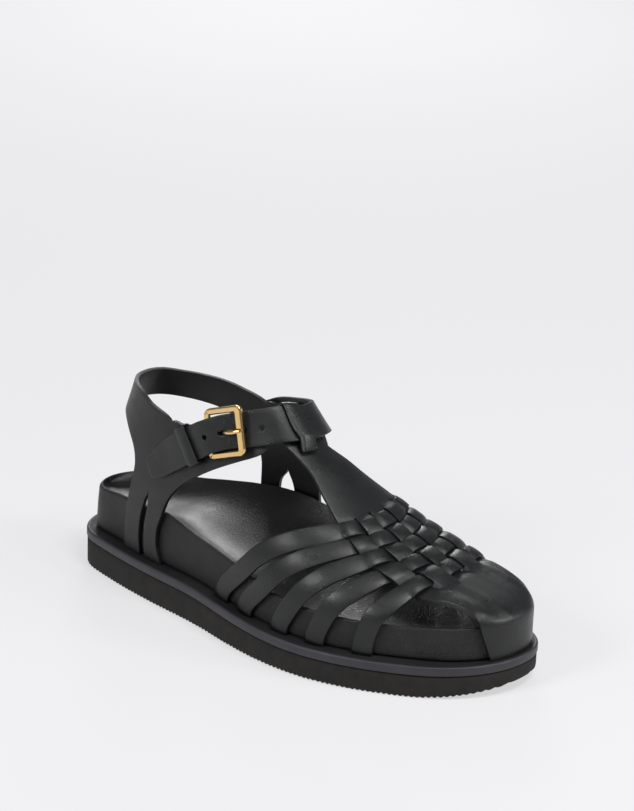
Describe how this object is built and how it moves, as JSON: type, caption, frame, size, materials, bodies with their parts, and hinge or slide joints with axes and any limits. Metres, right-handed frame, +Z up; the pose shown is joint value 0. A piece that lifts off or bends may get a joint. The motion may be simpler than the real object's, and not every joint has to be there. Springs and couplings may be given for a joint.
{
  "type": "fisherman sandal",
  "caption": "Woven leather fisherman sandal for the right foot, with a T-bar, an ankle strap with a buckle, a heel strap, a contoured footbed and a flat foam sole.",
  "frame": {"origin": "on the ground, under the middle of the sole's length", "axes": "+X to the toe, +Y to the inner side of the foot, +Z up"},
  "size_m": [0.2616, 0.1, 0.1188],
  "materials": {
    "outsole_foam": "matte foam",
    "welt_foam": "satin",
    "footbed_leather": "satin",
    "upper_leather": "smooth satin",
    "gold_metal": "polished gold"
  },
  "bodies": {
    "root": {"outsole": "outsole_foam", "welt": "welt_foam", "footbed": "footbed_leather", "woven_vamp": "upper_leather", "heel_quarter": "upper_leather", "ankle_strap": "upper_leather", "tbar_loop": "upper_leather", "keeper": "upper_leather", "buckle_frame": "gold_metal", "buckle_prong": "gold_metal"}
  },
  "joints": []
}
